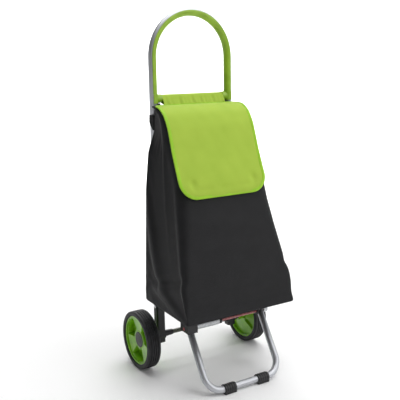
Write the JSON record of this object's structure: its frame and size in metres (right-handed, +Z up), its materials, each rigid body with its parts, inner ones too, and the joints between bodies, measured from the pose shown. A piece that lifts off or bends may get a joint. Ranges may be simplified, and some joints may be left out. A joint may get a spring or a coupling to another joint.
{
  "type": "shopping cart",
  "caption": "Two-wheel pull-along shopping cart: bent-tube hoop frame, tapered fabric bag with hanging lid, spoked wheels and a swing-back tube stand.",
  "frame": {"origin": "on the floor, midway between the wheels, and midway from the foot clips' front to the wheels' back", "axes": "+Z up, +X across the cart along the axle, -Y towards the front, where the stand and the lid hang"},
  "size_m": [0.3888, 0.3404, 0.963],
  "materials": {
    "aluminium": "satin anodised",
    "green_plastic": "smooth moulded",
    "black_plastic": "moulded",
    "grey_nylon": "moulded",
    "zinc_steel": "zinc plated",
    "rivet_steel": "bright",
    "red_steel": "coated rod",
    "grey_aluminium": "satin",
    "tyre_rubber": "moulded",
    "black_fabric": "woven polyester",
    "board": "board",
    "green_fabric": "woven polyester",
    "green_binding": "woven binding tape"
  },
  "bodies": {
    "frame": {"handle_tube": "aluminium", "grip_liner": "green_plastic", "crossbar": "green_plastic", "crossbar_clip_left": "green_plastic", "crossbar_clip_right": "green_plastic", "bag_hook_left": "black_plastic", "bag_hook_right": "black_plastic", "leg_socket_left": "black_plastic", "leg_socket_right": "black_plastic", "socket_pins": "rivet_steel", "axle": "zinc_steel", "axle_collars": "black_plastic", "axle_spacers": "black_plastic", "wheel_retainers": "zinc_steel", "platform_rails": "zinc_steel", "joint_block_left": "black_plastic", "joint_block_right": "black_plastic", "block_rivets": "rivet_steel", "pivot_rod": "red_steel", "rod_sleeve": "grey_aluminium", "rod_stop": "black_plastic", "rod_end_cap": "grey_aluminium", "bag_front": "black_fabric", "bag_back": "black_fabric", "bag_side_left": "black_fabric", "bag_side_right": "black_fabric", "bag_floor": "black_fabric", "base_board": "board", "crossbar_sleeve": "green_fabric", "frame_loop_left": "black_fabric", "frame_loop_right": "black_fabric", "leg_sleeve_left": "black_fabric", "leg_sleeve_right": "black_fabric"},
    "lid": {"lid_panel": "green_fabric", "lid_binding": "green_binding"},
    "stand": {"stand_tube": "aluminium", "stand_plugs": "black_plastic", "foot_clip_left": "black_plastic", "foot_clip_right": "black_plastic"},
    "wheel_left": {"tyre_left": "tyre_rubber", "wheel_hub_left": "green_plastic", "hub_bush_left": "grey_nylon", "hub_cap_left": "black_plastic"},
    "wheel_right": {"tyre_right": "tyre_rubber", "wheel_hub_right": "green_plastic", "hub_bush_right": "grey_nylon", "hub_cap_right": "black_plastic"}
  },
  "joints": [
    {"name": "wheel_left_spin", "type": "hinge", "parent": "frame", "child": "wheel_left", "pos_m": [-0.1752, 0.09025, 0.08], "axis": [1, 0, 0], "continuous": true},
    {"name": "wheel_right_spin", "type": "hinge", "parent": "frame", "child": "wheel_right", "pos_m": [0.1752, 0.09025, 0.08], "axis": [1, 0, 0], "continuous": true},
    {"name": "stand_fold", "type": "hinge", "parent": "frame", "child": "stand", "pos_m": [0, -0.06125, 0.155], "axis": [1, 0, 0], "range_deg": [0, 84]},
    {"name": "lid_open", "type": "hinge", "parent": "frame", "child": "lid", "pos_m": [0, 0.09075, 0.7145], "axis": [-1, 0, 0], "range_deg": [0, 90]}
  ]
}
